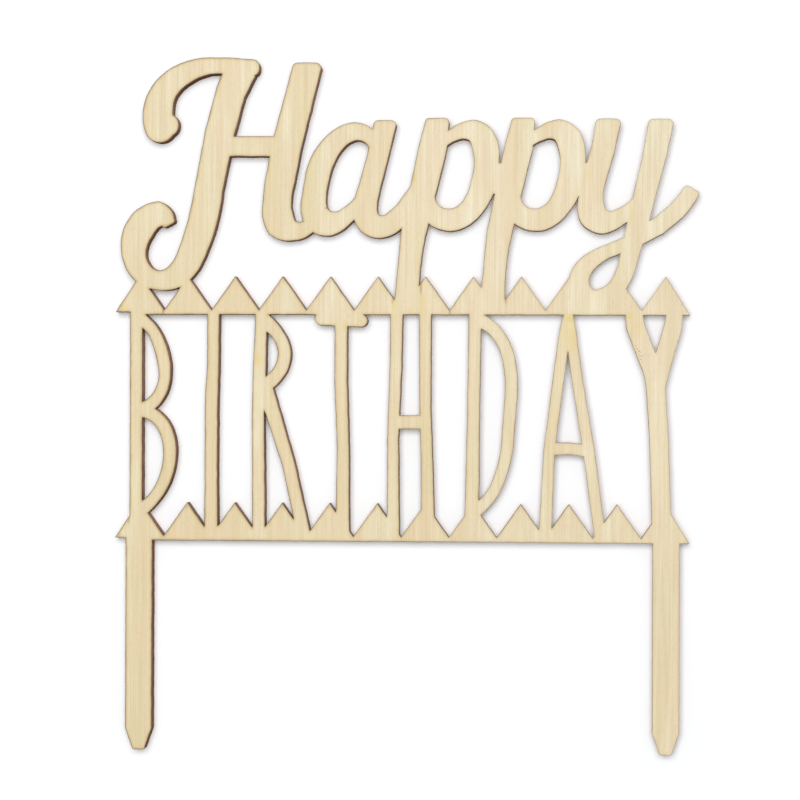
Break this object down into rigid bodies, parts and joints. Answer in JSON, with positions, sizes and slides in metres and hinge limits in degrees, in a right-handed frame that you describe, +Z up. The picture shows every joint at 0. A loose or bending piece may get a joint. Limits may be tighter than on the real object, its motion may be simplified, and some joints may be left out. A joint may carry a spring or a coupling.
{
  "type": "cake topper",
  "caption": "Flat laser-cut plywood cake topper: a joined script greeting above tall capitals between toothed rails, on pointed stakes that push into a cake",
  "frame": {"origin": "on the underside of the lower rail, midway between the two stakes, where the topper meets the top of the cake, in the middle of the sheet's thickness", "axes": "+Z up along the stakes, +X to the right as the greeting reads from the front, +Y to the back through the sheet, so the front looks along -Y"},
  "size_m": [0.1504, 0.003, 0.1792],
  "materials": {
    "face_birch": "bare sanded birch veneer with fine upright grain, toasted beside the laser cuts",
    "core_birch": "birch core veneer with cross grain, its cut walls charred brown by the laser"
  },
  "bodies": {
    "root": {"front_veneer": "face_birch", "core_veneer": "core_birch", "back_veneer": "face_birch"}
  },
  "joints": []
}
